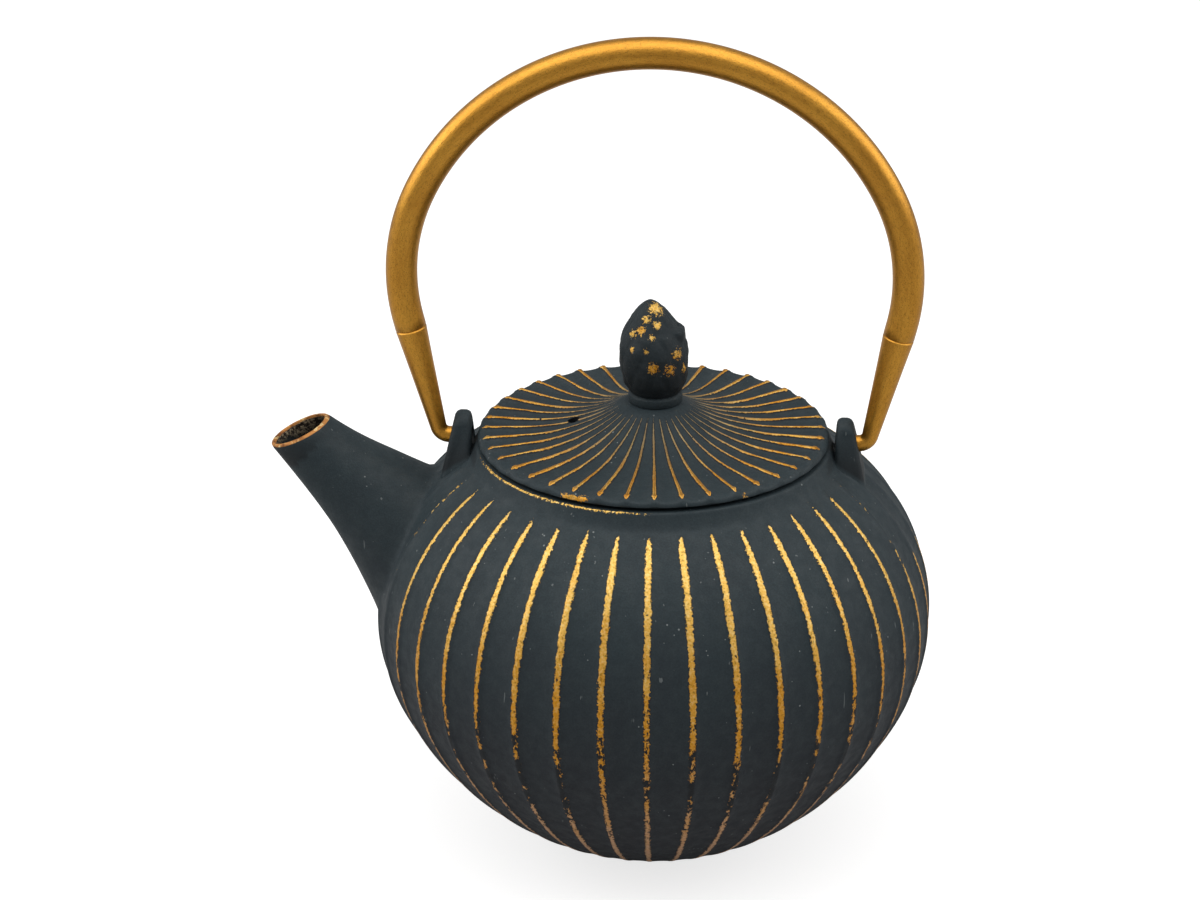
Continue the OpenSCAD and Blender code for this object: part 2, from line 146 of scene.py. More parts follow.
def raiseByWeight(piece, weightOf, height, direction="NORMAL"):
    # moves each point by height times its weight
    modify(piece, "DISPLACE", vertex_group=weighPoints(piece, weightOf), direction=direction,
           mid_level=0, strength=height * mm)
    piece.vertex_groups.clear()


def easeByWeight(piece, weightOf, passes):
    # smooths the surface where its weight is over zero, as a fillet
    modify(piece, "SMOOTH", vertex_group=weighPoints(piece, weightOf), factor=0.5, iterations=passes)
    piece.vertex_groups.clear()


def carve(piece, tool, operation):
    # joins or cuts with a tool that is then thrown away
    modify(piece, "BOOLEAN", solver="MANIFOLD", operation=operation, object=tool)
    bpy.data.objects.remove(tool, do_unlink=True)


def addRod(sides, radius, length, place, turn=(0, 0, 0)):
    # a plain cylinder to cut with
    pickNone()
    bpy.ops.mesh.primitive_cylinder_add(
        vertices=sides, radius=radius * mm, depth=length * mm, location=[value * mm for value in place],
        rotation=turn)
    rod = bpy.context.object
    settle(rod)
    return rod


def finishSurface(piece, sharpAngle):
    only(piece)
    bpy.ops.object.shade_smooth_by_angle(angle=radians(sharpAngle))


# the cast body with its spout and ears
pot = {
    "bodyRadius": 75, "shoulderArc": 52.5, "bellyArc": 84, "bellyStart": 25,
    "footRadius": 25, "footHeight": 1.2, "wall": 3.8, "rowSpacing": 1.75,
    "flutes": 40, "crestTurn": 1.7, "crestHalf": 0.85, "fluteDepth": 0.8, "fluteLowRadius": 30,
    "rimRadius": 47.2, "bandOut": 2, "bandHeight": 4.1,
    "recessRadius": 43.5, "ledgeDepth": 3.5, "mouthRadius": 39.5, "ledgeThickness": 3.6,
    "lipX": 95.1, "lipRise": 0.6, "spoutAngle": 44, "lipRadius": 8.1, "lipTilt": 21,
    "flareArc": 173, "flarePast": 23.9, "spoutLength": 60, "lipWall": 1.25, "passageRoot": 16,
    "ringSpacing": 1.3, "rootNear": 1.2, "rootFar": 4.5, "rootPasses": 14,
    "earInner": 47.8, "earLean": 0.9, "earThickness": 4, "earFlare": 4.2, "earRound": 4.2, "earTaper": 0.3,
    "earHalfFoot": 10.5, "earAbove": 6.9, "earBelow": 11.3, "pinRise": 0.1, "earBore": 2.5,
    "earBevel": 1.2, "netSize": 0.5, "borePast": 3,
}
shoulderCentre = pot["bodyRadius"] - pot["shoulderArc"]
arcChange = pot["shoulderArc"] - pot["bellyArc"]
bellyCentre = shoulderCentre + arcChange * cos(radians(pot["bellyStart"]))
bellyCentreZ = -arcChange * sin(radians(pot["bellyStart"]))
middleZ = (pot["footHeight"] - bellyCentreZ
           + sqrt(pot["bellyArc"] ** 2 - (pot["footRadius"] - bellyCentre) ** 2))
bandRadius = pot["rimRadius"] + pot["bandOut"]
bandZ = middleZ + sqrt(pot["shoulderArc"] ** 2 - (bandRadius - shoulderCentre) ** 2)
rimZ = bandZ + pot["bandHeight"]
ledgeZ = rimZ - pot["ledgeDepth"]
pinZ = rimZ + pot["pinRise"]
pitch = 360 / pot["flutes"]


def meridianPoints(inset, lowAngle, highAngle, spacing):
    # points up the two arcs of the body, drawn in by inset, between two angles from level
    arcs = ((bellyCentre, bellyCentreZ, pot["bellyArc"] - inset, lowAngle, -pot["bellyStart"]),
            (shoulderCentre, 0, pot["shoulderArc"] - inset, -pot["bellyStart"], highAngle))
    points = []
    for centre, centreZ, arc, low, high in arcs:
        steps = max(2, round(radians(high - low) * arc / spacing))
        for step in range(steps + 1):
            angle = radians(low + (high - low) * step / steps)
            if step or not points:
                points.append((centre + arc * cos(angle), middleZ + centreZ + arc * sin(angle)))
    return points


def bodyGap(place):
    # distance outside the body's meridian
    radius = fromAxis(place) - shoulderCentre
    height = place.z - middleZ
    if height > -tan(radians(pot["bellyStart"])) * radius:
        return hypot(radius, height) - pot["shoulderArc"]
    return hypot(radius + shoulderCentre - bellyCentre, height - bellyCentreZ) - pot["bellyArc"]


def hollowOf(across, step, stepEnd):
    # depth of a hollow from its edge to its middle: a soft step, then a curve
    return step * smooth(0, stepEnd, across) + (1 - step) * (1 - (1 - across) ** 2)


def fluteWeight(place):
    # nothing on a crest, one along the middle of a flute at the widest place
    radius = fromAxis(place)
    if abs(bodyGap(place)) > 0.2 or place.z > bandZ + 0.1:
        return 0
    turn = turnRound(place) - pot["crestTurn"]
    offset = abs((turn + pitch / 2) % pitch - pitch / 2) / (pitch / 2)
    edge = pot["crestHalf"] / (pi * pot["bodyRadius"] / pot["flutes"])
    across = min(max((offset - edge) / (1 - edge), 0), 1)
    hollow = hollowOf(across, 0.3, 0.12)
    if place.z > middleZ:
        fade = smooth(bandRadius - 0.6, bandRadius + 3.5, radius)
    else:
        fade = smooth(pot["fluteLowRadius"], pot["fluteLowRadius"] + 6, radius)
    return hollow * fade * (radius / pot["bodyRadius"]) ** 2


def makeBody():
    footAngle = -inDegrees(acos((pot["footRadius"] - bellyCentre) / pot["bellyArc"]))
    topAngle = inDegrees(acos((bandRadius + 0.8 - shoulderCentre) / pot["shoulderArc"]))
    foot, rim = pot["footRadius"], pot["rimRadius"]
    points = [(0, 0), (foot - 0.7, 0), (foot - 0.2, 0.2), (foot, 0.7)]
    points += meridianPoints(0, footAngle, topAngle, pot["rowSpacing"])
    # the neck's hollow under the rim, and the rim's round edge
    neck = [(0.4, -0.22), (0.08, 0.14), (-0.22, 0.55), (-0.6, 1.2), (-1.1, 2.2)]
    points += [(bandRadius + out, bandZ + up) for out, up in neck]
    edge = [(0.35, -0.75), (0.2, -0.35), (-0.08, -0.1), (-0.45, 0), (-5, 0)]
    points += [(rim + out, rimZ + up) for out, up in edge] + [(0, rimZ)]
    body = drawProfile("body", points)
    # the columns crowd at both edges of a crest
    half = inDegrees(pot["crestHalf"] / pot["bodyRadius"])
    side = [half * 0.7, half * 0.5, half * 0.4, half * 1.4]
    side.append((pitch / 2 - sum(side)) / 2)
    side.append(side[-1])
    turnOnLathe(body, [(degrees, 1) for degrees in side + side[::-1]], pot["flutes"])
    body.rotation_euler.z = radians(pot["crestTurn"])
    settle(body)
    raiseByWeight(body, fluteWeight, -pot["fluteDepth"])
    return body


spoutWay = Vector((-cos(radians(pot["spoutAngle"])), 0, sin(radians(pot["spoutAngle"]))))
lipPlace = Vector((-pot["lipX"], 0, rimZ + pot["lipRise"]))


def flareRadius(along):
    # radius of the spout so far from the lip
    centre = pot["lipRadius"] + sqrt(pot["flareArc"] ** 2 - pot["flarePast"] ** 2)
    return centre - sqrt(pot["flareArc"] ** 2 - (along + pot["flarePast"]) ** 2)


def placeOnSpout(piece):
    # tilts the lip, then sets the piece from its own axis onto the spout's
    reach = 10
    lean = tan(radians(pot["lipTilt"])) * reach
    for side in (1, -1):
        raiseByWeight(piece, lambda place: max(side * place.x, 0) / reach * smooth(-26, -1, place.z),
                      -side * lean, "Z")
    piece.rotation_euler.y = radians(pot["spoutAngle"] - 90)
    piece.location = (-pot["lipX"] * mm, 0, (rimZ + pot["lipRise"]) * mm)
    settle(piece)


def makeSpout():
    lip = pot["lipRadius"]
    points = [(0, 0), (lip - 1, 0), (lip - 0.45, -0.08), (lip - 0.12, -0.35), (lip + 0.04, -0.8)]
    points += [(flareRadius(along), -along) for along in [pot["ringSpacing"] * step for step in range(1, 47)]]
    points.append((0, points[-1][1]))
    spout = drawProfile("spout", points)
    turnOnLathe(spout, [(360, 96)])
    placeOnSpout(spout)
    return spout


def makePassage():
    narrow, root = pot["lipRadius"] - pot["lipWall"], pot["passageRoot"]
    length = pot["spoutLength"] - pot["wall"]
    points = [(0, 2), (narrow + 0.6, 2), (narrow + 0.6, 0.3), (narrow + 0.3, -0.05), (narrow + 0.1, -0.5)]
    points += [(narrow + (root - narrow) * (along / length), -along) for along in range(1, int(length), 3)]
    points += [(root, -length), (0, -length)]
    passage = drawProfile("passage", points)
    turnOnLathe(passage, [(360, 72)])
    placeOnSpout(passage)
    return passage


def spoutGap(place):
    # distance outside the spout's flare; far off when the place is beyond its ends
    along = (lipPlace - place).dot(spoutWay)
    if along < 5 or along > pot["spoutLength"]:
        return 99
    across = (lipPlace - place) - spoutWay * along
    return across.length - flareRadius(along)


def earSection(height):
    # inner and outer face of an ear at a height
    share = (pinZ + pot["earAbove"] - height) / (pot["earAbove"] + pot["earBelow"])
    inner = pot["earInner"] + pot["earLean"] * (1 - share)
    outer = pot["earInner"] + pot["earLean"] + pot["earThickness"] + pot["earFlare"] * share
    return inner, outer


def makeEar(side):
    roundZ = pinZ + pot["earAbove"] - pot["earRound"]
    footZ = pinZ - pot["earBelow"]
    far = hypot(pot["earHalfFoot"], roundZ - footZ)
    touch = (inDegrees(acos(pot["earRound"] / far))
             - inDegrees(atan2(roundZ - footZ, pot["earHalfFoot"])))
    outline = []
    steps = 16
    for step in range(steps + 1):
        angle = radians(touch + (180 - 2 * touch) * step / steps)
        outline.append((pot["earRound"] * cos(angle), roundZ + pot["earRound"] * sin(angle)))
    outline = [(pot["earHalfFoot"], footZ)] + outline + [(-pot["earHalfFoot"], footZ)]
    ear = drawProfile("ear", outline)
    pickAll()
    bpy.ops.mesh.edge_face_add()
    bpy.ops.mesh.extrude_region_move(TRANSFORM_OT_translate={"value": (0, mm, 0)})
    faceOutwards()
    leaveMesh()
    ear.rotation_euler.z = radians(90)
    settle(ear)
    # the two flat faces go to where the ear's slopes put them, and the outer one is narrower
    for vertex in ear.data.vertices:
        inner, outer = earSection(vertex.co.z / mm)
        if vertex.co.x > -0.5 * mm:
            vertex.co.x = inner * mm
        else:
            vertex.co.x = outer * mm
            vertex.co.y *= 1 - pot["earTaper"] * (1 - smooth(footZ, roundZ, vertex.co.z / mm))
    only(ear)
    editMesh()
    faceOutwards()
    bpy.ops.mesh.bevel(offset=pot["earBevel"] * mm, segments=3, profile=0.5)
    leaveMesh()
    modify(ear, "REMESH", mode="VOXEL", voxel_size=pot["netSize"] * mm)
    if side < 0:
        ear.rotation_euler.z = radians(180)
        settle(ear)
    return ear


def earGap(place):
    # rough distance outside an ear
    inner, outer = earSection(place.z)
    footZ, topZ = pinZ - pot["earBelow"], pinZ + pot["earAbove"]
    share = (topZ - place.z) / (topZ - footZ)
    halfWidth = pot["earRound"] + (pot["earHalfFoot"] - pot["earRound"]) * share
    return max(abs(place.x) - outer, inner - abs(place.x), (abs(place.y) - halfWidth) * 0.85, footZ - place.z)


def rootWeight(place):
    # one in the corner where spout or ear leave the body
    near, far = pot["rootNear"], pot["rootFar"]
    body = 1 - smooth(near, far, abs(bodyGap(place)))
    if body == 0:
        return 0
    spout = 1 - smooth(near, far, abs(spoutGap(place)))
    ear = 0.4 * (1 - smooth(0.6, 1.8, abs(earGap(place))))
    return body * max(spout, ear)


def makeCavity():
    recess, mouth, wall = pot["recessRadius"], pot["mouthRadius"], pot["wall"]
    ceilingZ = ledgeZ - pot["ledgeThickness"]
    topAngle = inDegrees(asin((ceilingZ - middleZ) / (pot["shoulderArc"] - wall)))
    floorZ = pot["footHeight"] + wall
    lowAngle = -inDegrees(asin((middleZ + bellyCentreZ - floorZ) / (pot["bellyArc"] - wall)))
    points = [(0, floorZ)] + meridianPoints(wall, lowAngle, topAngle, 5)
    points += [(mouth, ceilingZ), (mouth, ledgeZ), (recess, ledgeZ), (recess, rimZ - 0.4)]
    points += [(recess + 0.35, rimZ), (recess + 0.7, rimZ + 2), (0, rimZ + 2)]
    cavity = drawProfile("cavity", points)
    turnOnLathe(cavity, [(360, 120)])
    return cavity


def makeBore(side):
    # from the ear's inner face to a little past its outer one
    inner, outer = pot["earInner"], earSection(pinZ)[1]
    middle = side * (outer + inner + pot["borePast"]) / 2
    length = outer - inner + pot["borePast"]
    return addRod(40, pot["earBore"], length, (middle, 0, pinZ), (0, pi / 2, 0))


potPiece = makeBody()
print("body turned and fluted")
carve(potPiece, makeSpout(), "UNION")
for side in (1, -1):
    carve(potPiece, makeEar(side), "UNION")
easeByWeight(potPiece, rootWeight, pot["rootPasses"])
carve(potPiece, makeCavity(), "DIFFERENCE")
carve(potPiece, makePassage(), "DIFFERENCE")
for side in (1, -1):
    carve(potPiece, makeBore(side), "DIFFERENCE")
potPiece.name = "pot"
finishSurface(potPiece, 40)
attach(potPiece, "pot")
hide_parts("pot_body")
print("pot made:", len(potPiece.data.polygons), "faces")

# the cast lid: ribs on top, a centring ring below
lid = {
    "radius": 46.7, "gap": 0.2, "thickness": 3.1, "edgeRound": 1.8,
    "riseRadius": 34, "seatHeight": 8, "seatRadius": 7.8, "shell": 2.8,
    "ringOuter": 43.05, "ringInner": 40.45, "ringDrop": 2.4, "studHole": 2.7,
    "ribs": 40, "ribTurn": 3.2, "ribStart": 12.4, "ribEnd": 44.6, "ribHeight": 0.45, "ribHalf": 0.75,
    "nailRadius": 0.9, "valley": 0.9, "undercut": 0.9, "ventX": -21.3, "ventRadius": 1.75,
}
lidZ = rimZ + lid["gap"]
lidTop = lidZ + lid["thickness"]
seatZ = lidTop + lid["seatHeight"]
ribPitch = 360 / lid["ribs"]


def riseHeight(radius, inset):
    # top of the lid's rise, or the hollow under it when inset is the shell
    run = lid["riseRadius"] - lid["seatRadius"]
    arc = (run ** 2 + lid["seatHeight"] ** 2) / (2 * lid["seatHeight"])
    return lidTop + arc - sqrt((arc + inset) ** 2 - (lid["riseRadius"] - radius) ** 2)


def ribOffset(place):
    # degrees from the nearest rib
    turn = turnRound(place) - lid["ribTurn"] + 90
    return abs((turn + ribPitch / 2) % ribPitch - ribPitch / 2)


def onLidTop(place):
    radius = fromAxis(place)
    top = riseHeight(radius, 0) if radius < lid["riseRadius"] else lidTop
    return place.z > top - 2.2 and radius > lid["seatRadius"] + 0.5 and place.z > lidZ + 0.6


def ribWeight(place):
    radius = fromAxis(place)
    if not onLidTop(place) or radius < lid["ribStart"]:
        return 0
    offset = ribOffset(place)
    ridge = max(0, 1 - (offset / lid["ribHalf"]) ** 2) * (0.35 + 0.65 * smooth(lid["ribStart"], 30, radius))
    whole = 1 - smooth(lid["ribEnd"], lid["ribEnd"] + 0.7, radius)
    ridge *= smooth(lid["ribStart"], lid["ribStart"] + 2, radius) * whole
    away = hypot(radians(offset) * radius, radius - lid["ribEnd"] + 0.3)
    return max(ridge, 1 - smooth(lid["nailRadius"] * 0.5, lid["nailRadius"] * 1.25, away))


def valleyWeight(place):
    radius = fromAxis(place)
    if not onLidTop(place):
        return 0
    across = max(0, (ribOffset(place) - lid["ribHalf"]) / (ribPitch / 2 - lid["ribHalf"]))
    fade = smooth(13, 42, radius) * (1 - smooth(lid["ribEnd"] + 0.2, lid["ribEnd"] + 3.2, radius))
    return hollowOf(across, 0.35, 0.2) * fade


def makeLid():
    edge, corner, seat, rise = lid["radius"], lid["edgeRound"], lid["seatRadius"], lid["riseRadius"]
    points = [(lid["studHole"], seatZ), (seat - 0.5, seatZ), (seat, riseHeight(seat + 0.3, 0))]
    points += [(radius, riseHeight(radius, 0)) for radius in [8.8 + 1.2 * step for step in range(21)]]
    # the flat border: first radius, step and count, closer where the ribs end
    for start, apart, count in ((rise, 1, 8), (41.7, 0.4, 4), (43.2, 0.28, 7)):
        points += [(start + apart * step, lidTop) for step in range(count)]
    for degrees in (12, 30, 48, 66, 84):
        turn = radians(degrees)
        points.append((edge - corner + corner * sin(turn), lidTop - corner + corner * cos(turn)))
    under = lidZ + lid["undercut"]
    for drawnIn, up in ((0, 0.35), (0.15, 0), (0.6, -0.25), (2, -0.35)):
        points.append((edge - drawnIn, under + up))
    outer, inner, ringZ = lid["ringOuter"], lid["ringInner"], rimZ - lid["ringDrop"]
    points += [(outer, under - 0.35), (outer, ringZ), (inner, ringZ), (inner, lidZ), (rise, lidZ)]
    points += [(radius, riseHeight(radius, lid["shell"])) for radius in (rise, 30, 26, 22, 18, 14, 11, 8.5)]
    points += [(7, seatZ - lid["shell"]), (lid["studHole"], seatZ - lid["shell"]), (lid["studHole"], seatZ)]
    piece = drawProfile("lid", points)
    side = [0.3, 0.25, 0.25, 0.5, 0.9, 1.1, 1.2]
    turnOnLathe(piece, [(degrees, 1) for degrees in side + side[::-1]], lid["ribs"])
    piece.rotation_euler.z = radians(lid["ribTurn"] - 90)
    settle(piece)
    raiseByWeight(piece, valleyWeight, -lid["valley"], "Z")
    raiseByWeight(piece, ribWeight, lid["ribHeight"], "Z")
    carve(piece, addRod(32, lid["ventRadius"], 20, (lid["ventX"], 0, lidZ + 5)), "DIFFERENCE")
    piece.name = "lid_top"
    finishSurface(piece, 40)
    return piece


lidPiece = makeLid()
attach(lidPiece, "lid")
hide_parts("lid")
print("lid made:", len(lidPiece.data.polygons), "faces")

# the cone-shaped knob; its outline is in radius and height over its seat
knob = {
    "height": 28.4, "stud": 2.5, "studBottom": 117.74, "lean": 1.4, "shift": 0.5, "drawnIn": 0.12,
    "scaleTurn": 40, "scaleRise": 5.2, "scaleHeight": 0.35, "bigScaleHeight": 1.25, "bigScaleTop": 20.5,
    "dents": 0.35, "dentSize": 0.45,
    "collar": [(6.7, 0), (6.98, 0.12), (7.1, 0.4), (7.2, 1.2), (7.2, 2.1), (7.1, 2.5), (6.75, 2.7), (6.55, 2.9),
               (6.6, 3.1), (6.9, 3.3)],
    "outline": [(7.3, 3.6), (7.75, 4.8), (8.2, 6), (8.55, 7.4), (8.8, 8.8), (8.93, 10.2), (9, 11.6), (9.02, 13),
                (9, 14.4), (8.88, 15.8), (8.65, 17), (8.3, 18.2), (7.8, 19.4), (7.15, 20.6), (6.5, 21.7),
                (5.85, 22.8), (5.2, 23.8), (4.55, 24.8), (3.9, 25.7), (3.2, 26.5), (2.5, 27.2), (1.8, 27.75),
                (1.1, 28.15), (0.5, 28.35), (0, 28.4)],
}


def scaleWeight(place):
    # low scales in a lattice of two spirals, sharper at their upper edges
    height = place.z - seatZ
    if height < 4 or height > 27:
        return 0
    turn = turnRound(place) / knob["scaleTurn"]
    rise = height / knob["scaleRise"]
    across = abs((turn + rise / 2) % 1 - 0.5) * 2
    along = abs((turn - rise / 2) % 1 - 0.5) * 2
    dome = (1 - across ** 2) * (1 - along ** 2)
    return dome * smooth(4, 6.5, height) * (1 - smooth(23, 27, height))


def bigScaleWeight(place):
    # one scale stands out on the right, with a ledge over it
    height = place.z - seatZ
    turn = turnRound(place) + 8
    top = knob["bigScaleTop"]
    ledge = smooth(top - 3.3, top - 0.1, height) * (1 - smooth(top, top + 0.6, height))
    return ledge * (1 - smooth(14, 34, abs(turn)))


def dentWeight(place):
    return dent(place * knob["dentSize"]) * smooth(seatZ + 4, seatZ + 6, place.z)


def leanWeight(place):
    return max(0, (place.z - seatZ) / knob["height"]) ** 1.5


def shiftWeight(place):
    # all of the knob but its stud
    return smooth(seatZ - 1, seatZ - 0.01, place.z)


def makeKnob():
    stud, bottom = knob["stud"], knob["studBottom"]
    points = [(0, bottom), (stud, bottom), (stud, seatZ)]
    points += [(radius, seatZ + height) for radius, height in knob["collar"]]
    points += [(max(0, radius - knob["drawnIn"]), seatZ + height) for radius, height in knob["outline"]]
    piece = drawProfile("knob", points)
    turnOnLathe(piece, [(360, 96)])
    only(piece)
    editMesh()
    bpy.ops.mesh.select_all(action="DESELECT")
    leaveMesh()
    for polygon in piece.data.polygons:
        polygon.select = polygon.center.z > (seatZ + 3.5) * mm
    editMesh()
    bpy.ops.mesh.subdivide(number_cuts=1)
    leaveMesh()
    raiseByWeight(piece, scaleWeight, knob["scaleHeight"])
    raiseByWeight(piece, bigScaleWeight, knob["bigScaleHeight"])
    raiseByWeight(piece, dentWeight, knob["dents"])
    raiseByWeight(piece, leanWeight, -knob["lean"], "X")
    raiseByWeight(piece, shiftWeight, knob["shift"], "X")
    piece.name = "knob_cone"
    finishSurface(piece, 50)
    return piece


knobPiece = makeKnob()
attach(knobPiece, "lid")
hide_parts("knob")
print("knob made:", len(knobPiece.data.polygons), "faces")

# the bow and its two tapered ends lie in one plane
bail = {
    "height": 106.5, "crownArc": 67.7, "crownHalf": 64, "sideArc": 52.7, "tube": 4.15, "seamDrop": 3,
    "pin": 2.2, "hookArc": 3, "hookGap": 0.3, "pinEnd": 49, "groove": 0.22, "capScale": 0.8, "taperPower": 0.92,
}
crownZ = pinZ + bail["height"] - bail["crownArc"]
sideX = (bail["crownArc"] - bail["sideArc"]) * sin(radians(bail["crownHalf"]))
sideZ = crownZ + (bail["crownArc"] - bail["sideArc"]) * cos(radians(bail["crownHalf"]))
hookX = earSection(pinZ)[1] + bail["hookGap"]
hookZ = pinZ + bail["hookArc"]
legSpan = hypot(hookX - sideX, hookZ - sideZ)
legTurn = inDegrees(atan2(hookX - sideX, hookZ - sideZ)
                       - acos((bail["sideArc"] - bail["hookArc"]) / legSpan))
legLength = sqrt(legSpan ** 2 - (bail["sideArc"] - bail["hookArc"]) ** 2)
legWay = Vector((cos(radians(legTurn)), 0, -sin(radians(legTurn))))
legTop = Vector((sideX + bail["sideArc"] * sin(radians(legTurn)), 0,
                 sideZ + bail["sideArc"] * cos(radians(legTurn))))


def addRing(name, place, way, radius, sides=48):
    # a ring of edges that looks along the bail
    pickNone()
    bpy.ops.mesh.primitive_circle_add(vertices=sides, radius=radius * mm, location=place * mm,
                                      rotation=way.to_track_quat("Z", "Y").to_euler())
    ring = bpy.context.object
    ring.name = name
    settle(ring)
    editMesh()
    pickAll()
    return ring


def drawOn(centre, way, length, scale=1):
    # extrudes the selected ring along a direction, scales it, and gives its new centre
    bpy.ops.mesh.extrude_region_move(TRANSFORM_OT_translate={"value": way * (length * mm)})
    centre = centre + way * length
    if scale != 1:
        bpy.ops.transform.resize(value=(scale, scale, scale), center_override=centre * mm)
    return centre


def bendOn(centreX, centreZ, degrees, steps):
    # turns the selected ring in the XZ plane about a centre
    centre = (centreX * mm, 0, centreZ * mm)
    bpy.ops.mesh.spin(steps=steps, angle=-radians(degrees), center=centre, axis=(0, 1, 0))


def closeRing():
    bpy.ops.mesh.edge_face_add()


def makeTube():
    tube = addRing("bail_tube", Vector((0, 0, crownZ + bail["crownArc"])), Vector((1, 0, 0)), bail["tube"])
    bendOn(0, crownZ, bail["crownHalf"], 64)
    bendOn(sideX, sideZ, legTurn - bail["crownHalf"], 30)
    inner = (bail["tube"] - bail["groove"]) / bail["tube"]
    centre = drawOn(legTop, legWay, bail["seamDrop"] - 0.35)
    centre = drawOn(centre, legWay, 0.3, inner)
    drawOn(centre, legWay, 0.001, bail["capScale"])
    closeRing()
    leaveMesh()
    modify(tube, "MIRROR", merge_threshold=0.01 * mm)
    editMesh()
    endMesh()
    finishSurface(tube, 40)
    return tube


def makeLeg():
    centre = legTop + legWay * bail["seamDrop"]
    inner = (bail["tube"] - bail["groove"]) / bail["tube"]
    leg = addRing("bail_leg_right", centre, legWay, bail["tube"] * inner * bail["capScale"])
    closeRing()
    centre = drawOn(centre, legWay, 0.001, 1 / bail["capScale"])
    centre = drawOn(centre, legWay, 0.3, 1 / inner)
    length = legLength - bail["seamDrop"] - 0.301
    steps = 20
    last = bail["tube"]
    for step in range(1, steps + 1):
        radius = bail["tube"] + (bail["pin"] - bail["tube"]) * (step / steps) ** bail["taperPower"]
        centre = drawOn(centre, legWay, length / steps, radius / last)
        last = radius
    bendOn(hookX, hookZ, 180 - legTurn, 16)
    inward = Vector((-1, 0, 0))
    centre = drawOn(Vector((hookX, 0, pinZ)), inward, hookX - bail["pinEnd"] - 0.3)
    drawOn(centre, inward, 0.3, 0.88)
    closeRing()
    endMesh()
    finishSurface(leg, 40)
    return leg


def mirrorCopy(piece, name):
    only(piece)
    bpy.ops.object.duplicate()
    copy = bpy.context.object
    copy.name = name
    copy.scale.x = -1
    settle(copy)
    editMesh()
    endMesh()
    finishSurface(copy, 40)
    return copy


tubePiece = makeTube()
rightLeg = makeLeg()
leftLeg = mirrorCopy(rightLeg, "bail_leg_left")
tubePiece.name, rightLeg.name, leftLeg.name = "bail_bow", "bail_end_right", "bail_end_left"
for piece, node in ((tubePiece, "bail_tube"), (rightLeg, "bail_leg_right"), (leftLeg, "bail_leg_left")):
    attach(piece, "bail")
    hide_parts(node)
print("bail made")

# where paint is worn or rubbed on, and where shade is painted, as values held by the points of a mesh


def paint(piece, name, valueOf):
    attribute = piece.data.attributes.new(name, "FLOAT", "POINT")
    values = [min(max(valueOf(vertex.co / mm), 0), 1) for vertex in piece.data.vertices]
    attribute.data.foreach_set("value", values)


def frontTurn(place):
    # degrees round from the front, positive to the right
    return inDegrees(atan2(place.x, -place.y))


# worn places and painted shade of the pot: pairs are the start and end of a soft step, in millimetres or
# degrees from the front
potWearAndShade = {
    "reach": 1.6, "neckFade": 6, "footFade": (25, 28), "spoutFade": (4, 8),
    "flankThin": (60, 72), "flankLoss": 0.75, "flankZ": (34, 58), "flankBare": (73, 76), "earBare": (66, 77),
    "sideThin": (22, 58), "sideLoss": 0.4, "edgeStart": (-78, -60), "edgeEnd": (-8, 6), "edgeWidth": 0.8,
    "lipDepth": (-0.9, -0.4), "crustDepth": (-0.9, -0.5), "crustEdge": (6.8, 7.4), "boreGrowth": 0.17,
    # the painted shade down the spout's bore, and the painted shade on the ears: how strong and between which
    # heights
    "boreShadeDark": (1, 5.5), "earShade": 0.85, "earShadeZ": (-9, 7),
}


def potGilt(place):
    # how much of a line's gilding is left
    radius = fromAxis(place)
    if abs(bodyGap(place)) > potWearAndShade["reach"] or place.z > bandZ - 0.2:
        return 0
    if place.z > middleZ:
        gilt = smooth(bandRadius + 0.2, bandRadius + potWearAndShade["neckFade"], radius)
    else:
        gilt = smooth(*potWearAndShade["footFade"], radius)
    gilt *= smooth(*potWearAndShade["spoutFade"], spoutGap(place))
    turn = frontTurn(place)
    # the back is gilded like the front
    if abs(turn) > 90:
        turn = copysign(180 - abs(turn), turn)
    # thin on the flank under the spout, and by the right ear
    thin = smooth(*potWearAndShade["flankThin"], -turn) * smooth(*potWearAndShade["flankZ"], place.z)
    gilt *= 1 - potWearAndShade["flankLoss"] * thin
    gilt *= 1 - smooth(*potWearAndShade["flankBare"], -turn) * smooth(middleZ - 30, middleZ - 20, place.z)
    gilt *= 1 - smooth(*potWearAndShade["earBare"], turn) * smooth(middleZ + 14, middleZ + 28, place.z)
    return gilt * (1 - potWearAndShade["sideLoss"] * smooth(*potWearAndShade["sideThin"], abs(turn)))


def potPatch(place):
    # the rim's front edge is rubbed through to gold
    radius = fromAxis(place)
    if radius >= 52:
        return 0
    fromEdge = abs(radius - pot["rimRadius"] - 0.2)
    onEdge = smooth(rimZ - 0.5, rimZ - 0.2, place.z) * (1 - smooth(0, potWearAndShade["edgeWidth"], fromEdge))
    turn = frontTurn(place)
    return onEdge * smooth(*potWearAndShade["edgeStart"], turn) * (1 - smooth(*potWearAndShade["edgeEnd"], turn))


def lipDistance(place):
    # height over the plane of the tilted lip
    tilt = radians(90 - pot["spoutAngle"] - pot["lipTilt"])
    return (place - lipPlace).dot(Vector((-sin(tilt), 0, cos(tilt))))


def potCopper(place):
    # the cut edge of the spout
    return smooth(*potWearAndShade["lipDepth"], lipDistance(place)) if place.x < -80 else 0


def potRust(place):
    # the bare bore of the spout, which widens towards the pot
    if place.x > -60:
        return 0
    back = lipPlace - place
    depth = back.dot(spoutWay)
    across = (back - spoutWay * depth).length - max(0, depth) * potWearAndShade["boreGrowth"]
    inBore = 1 - smooth(*potWearAndShade["crustEdge"], across)
    return inBore * (1 - smooth(*potWearAndShade["crustDepth"], lipDistance(place)))


lidWear = {
    "dull": 0.85, "dullFade": (12, 38), "rubbed": 0.8, "rubStart": (-29, -26), "rubEnd": (-20, -17),
    "spot": 0.6, "spotTurn": 33,
}


